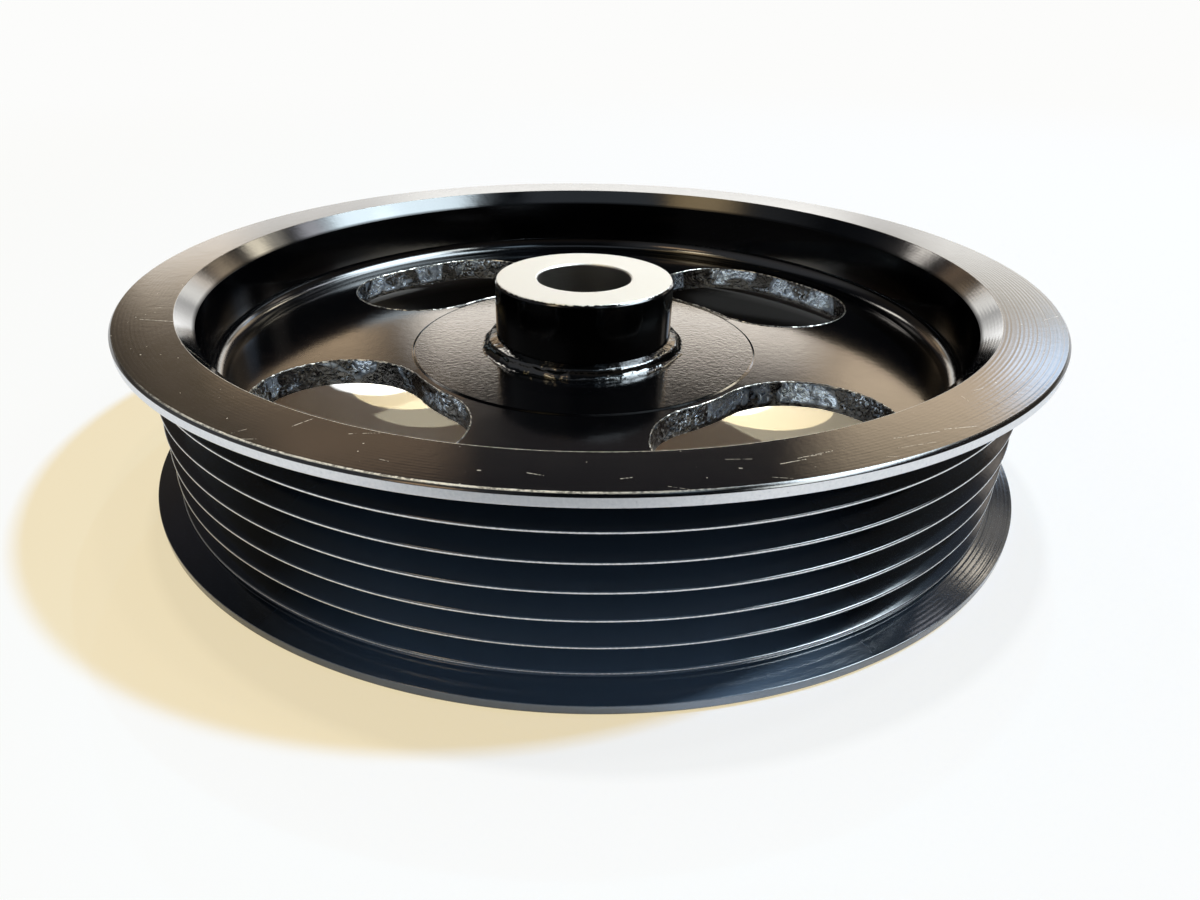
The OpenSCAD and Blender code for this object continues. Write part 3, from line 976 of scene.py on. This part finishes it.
# %% The far white, and the table put together
UNDER_R, FADE_FROM, FADE_TO = 60 * MM, 0.12, 0.6
plain = add(tree, "ShaderNodeEmission", ("#fcfcfb",))
fade = add(tree, RANGE, (from_axis, FADE_FROM, FADE_TO), {"interpolation_type": "SMOOTHSTEP"})
beside = add(tree, "ShaderNodeMixShader", (fade, around, plain))
outside = add(tree, MATH, (from_axis, UNDER_R), "GREATER_THAN")
outside = add(tree, MATH, (outside, seen), "MULTIPLY")
mixed = add(tree, "ShaderNodeMixShader", (outside, under, beside))
add(tree, "ShaderNodeOutputMaterial", {"Surface": mixed})
print("the card turns plain white from", FADE_FROM, "to", FADE_TO, "m")

# %% [markdown]
# ## The room
#
# Black gloss shows the room, so the room decides how the pulley looks. This is a dim studio with a
# pale backdrop low behind the pulley, a tall window to its right and a few warm lamps. A picture of
# a real room would do, but panels can be moved one by one. Each has soft edges and lies in the
# world's shader, where it is seen from the pulley: its heading from straight behind round to the
# right, its height above the table, its width, height and softness, all in degrees, then its light,
# where 1 is white. The camera sees plain white and matt surfaces an even grey, so the panels only
# shape reflections.

# %% The panels: heading, height, width, height, soft edge, light
PANELS = [
    (-1.5, 4, 65, 8, 3, (2.5, 2.5, 2.45)),
    (-1.5, 11, 65, 6, 2, (1.6, 1.6, 1.58)),
    (-1.5, 14.5, 65, 4, 3, (0.55, 0.52, 0.45)),
    (23, 15, 14, 5, 3, (1.2, 1.2, 1.15)),
    (-3, 15.7, 28, 4.7, 4, (3.9, 3.85, 3.7)),
    (-3, 19.5, 28, 3, 3, (3.9, 3.45, 2.95)),
    (30.5, 14, 6, 5, 3, (4, 4.1, 4.2)),
    (46, 20, 8, 8, 4, (1.8, 1.6, 1.4)),
    (-31, 14.5, 8, 4, 3, (1.0, 0.8, 0.6)),
    (-24.5, 19.3, 10, 5, 4, (2.2, 1.6, 1.0)),
    (18, 20.8, 13, 5.5, 4, (2.5, 1.95, 1.4)),
    (27, 19.6, 8, 3.5, 2.5, (3.4, 4.4, 5.8)),
    (20, 25.5, 15, 6, 5, (2.2, 1.75, 1.2)),
    (27, 35, 6, 6, 3, (10, 9, 7)),
    (-21.5, 27, 13, 5, 4, (0.95, 0.65, 0.40)),
    (-32, 21, 8, 14, 5, (0.30, 0.22, 0.13)),
    (-34, 37.5, 9, 8, 4, (10, 9.4, 8.6)),
    (44, 44, 8, 8, 4, (5, 5, 5.4)),
    (38.5, 32.5, 3.5, 3.5, 1.5, (8, 7.2, 6)),
    (36, 27, 6, 7, 3, (0.9, 0.85, 0.75)),
    (32, 39.5, 6, 5, 3, (3, 2.8, 2.4)),
    (25, 58, 52, 12, 6, (10, 11.5, 12.5)),
    (73, 59, 48, 28, 8, (14, 16.5, 18)),
    (88, 46, 44, 18, 8, (26, 30, 33)),
    (118, 41, 16, 12, 5, (15, 16, 16)),
    (137, 63, 20, 10, 6, (2, 2.7, 3.3)),
    (-107, 70, 32, 12, 8, (3.4, 2.5, 1.35)),
    (-31, 68, 22, 8, 5, (8, 6.2, 2.9)),
    (-125, 60, 14, 8, 5, (16, 13.5, 9)),
    (-144, 43, 18, 10, 5, (5.5, 3.6, 1.9)),
    (180, 76, 110, 13, 8, (0.42, 0.48, 0.55)),
    (-120, 35, 90, 55, 20, (0.4, 0.42, 0.45)),
]
print("brightest panel:", max(max(light) for *_, light in PANELS), "times white")

# %% The room: directions, and the dim light between the panels
world = bpy.data.worlds.new("studio")
bpy.context.scene.world = world
world.use_nodes = True
tree = world.node_tree
tree.nodes.clear()
way = add(tree, "ShaderNodeTexCoord")
parts = add(tree, "ShaderNodeSeparateXYZ", (way.outputs["Generated"],))
around = add(tree, MATH, (parts.outputs["X"], parts.outputs["Y"]), "ARCTAN2")
around = add(tree, MATH, (around,), "DEGREES")
above = add(tree, MATH, (parts.outputs["Z"],), "ARCSINE")
above = add(tree, MATH, (above,), "DEGREES")
rise = add(tree, RANGE, (above, 0, 90))
light = add(tree, "ShaderNodeValToRGB", (rise,))
stops = [(0.0, "#ffffff"), (0.02, "#ffffff"), (0.07, "#6f665c"), (0.26, "#605953"),
         (0.32, "#5c585b"), (0.50, "#3e4248"), (0.63, "#272b30"), (1.0, "#1d2126")]
while len(light.color_ramp.elements) < len(stops):
    light.color_ramp.elements.new(0.5)
for stop, (position, hex_colour) in zip(light.color_ramp.elements, stops):
    stop.position = position
    stop.color = linear(hex_colour)
print("dim light from the table to straight up:", [hex_colour for _, hex_colour in stops])

# %% The room: the panels
for heading, height, wide, tall, edge, colour in PANELS:
    apart = add(tree, MATH, (around, heading), "SUBTRACT")
    apart = add(tree, MATH, (apart, 180, -180), "WRAP")
    higher = add(tree, MATH, (above, height), "SUBTRACT")
    sides = []
    for off, size in ((apart, wide), (higher, tall)):
        off = add(tree, MATH, (off,), "ABSOLUTE")
        sides.append(add(tree, RANGE, (off, (size + edge) / 2, (size - edge) / 2)))
    mask = add(tree, MATH, sides, "MULTIPLY")
    panel = add(tree, VECTOR, {0: colour, "Scale": mask}, "SCALE")
    light = add(tree, VECTOR, (light, panel), "ADD")
print("room:", len(PANELS), "panels,", len(tree.nodes), "nodes")

# %% The room: what each kind of ray sees
room, even, white = (
    add(tree, "ShaderNodeBackground", (colour,)) for colour in (light, "#6a6e74", "#ffffff"))
ray = add(tree, "ShaderNodeLightPath")
shiny = add(tree, "ShaderNodeMixShader", (ray.outputs["Is Glossy Ray"], even, room))
pick = add(tree, "ShaderNodeMixShader", (ray.outputs["Is Camera Ray"], shiny, white))
add(tree, "ShaderNodeOutputWorld", {"Surface": pick})
print("matt surfaces see an even grey of", round(linear("#6a6e74")[0], 2), "of white")

# %% [markdown]
# ## The lamps
#
# The lamps light the table and draw the shadows: a cool key lamp from the window's side, and two
# narrow warm beams from behind that fall only into the pulley and come out through its windows. A
# sun lamp would light the whole table, so the beams are spots. Each lamp faces the pulley from
# three metres away. The panels stand for the lamps in reflections.

# %% Placing a lamp
LAMP_DISTANCE = 3


def lamp(name, light, heading, height, watts, colour):
    """Stands a light at that heading and height, in degrees, so that it faces the origin."""
    heading, height = math.radians(heading), math.radians(height)
    place = LAMP_DISTANCE * Vector((
        math.sin(heading) * math.cos(height), math.cos(heading) * math.cos(height),
        math.sin(height)))
    light.energy = watts
    light.color = colour
    piece = stand(name, light)
    piece.location = place
    piece.rotation_euler = (-place).to_track_quat("-Z", "Y").to_euler()
    piece.visible_camera = False
    piece.visible_glossy = False
    print(name, watts, "W")


# %% The key lamp, as wide as it is seen from the pulley, in degrees
KEY_WIDTH = 4
soft_box = bpy.data.lights.new("soft_box", "AREA")
soft_box.size = 2 * LAMP_DISTANCE * math.tan(math.radians(KEY_WIDTH / 2))
lamp("key_lamp", soft_box, 69, 55.5, 87, (0.9, 0.96, 1))

# %% The two warm beams, 2.4 degrees wide, which is as wide as the pulley
for name, heading, height, watts, colour in (
    ("cream_beam", 3, 55, 170, (1, 0.85, 0.53)), ("warm_beam", -18, 37, 75, (1, 0.95, 0.72)),
):
    beam = bpy.data.lights.new(name, "SPOT")
    beam.spot_size, beam.spot_blend = math.radians(2.4), 0.35
    beam.shadow_soft_size = 0.03
    lamp(name, beam, heading, height, watts, colour)

# %% [markdown]
# ## The camera
#
# A wide lens held close, a hand's breadth above the table, gives the photograph's strong
# perspective. A camera can be aimed by hand, but this one was worked out: circles of known size,
# such as the tips of the ribs, were projected through a pinhole, and its numbers were changed until
# they lay on the seen ones. The turn of five degrees round the axis puts the windows where the
# photograph has them.

# %% The camera
camera_data = bpy.data.cameras.new("camera")
camera = stand("camera", camera_data)
bpy.context.scene.camera = camera
camera_data.sensor_width = 36
camera_data.lens = 25.09
camera_data.shift_x, camera_data.shift_y = 0.0348, 0.0593
camera_data.clip_start, camera_data.clip_end = 0.005, 20
yaw, pitch, roll, turned_by = -0.0298, 0.5728, 0.0038, math.radians(5.15)
ahead = Vector((math.sin(yaw) * math.cos(pitch), math.cos(yaw) * math.cos(pitch), -math.sin(pitch)))
right = Vector((math.cos(yaw), -math.sin(yaw), 0))
up = right.cross(ahead)
across = math.cos(roll) * right + math.sin(roll) * up
upright = -math.sin(roll) * right + math.cos(roll) * up
pose = Matrix((across, upright, -ahead)).transposed().to_4x4()
pose.translation = Vector((0, -0.12809, 0.06387))
camera.matrix_world = Matrix.Rotation(turned_by, 4, "Z") @ pose
print("camera", round(pose.translation.length * 1000), "mm from the axis at the floor, tilted",
      round(math.degrees(pitch), 1), "degrees down")

# %% [markdown]
# ## View
#
# The Standard view shows each colour as it is written, where Blender's usual one would flatten the
# whites.

# %% View
bpy.context.scene.view_settings.view_transform = "Standard"
print("view:", bpy.context.scene.view_settings.view_transform)
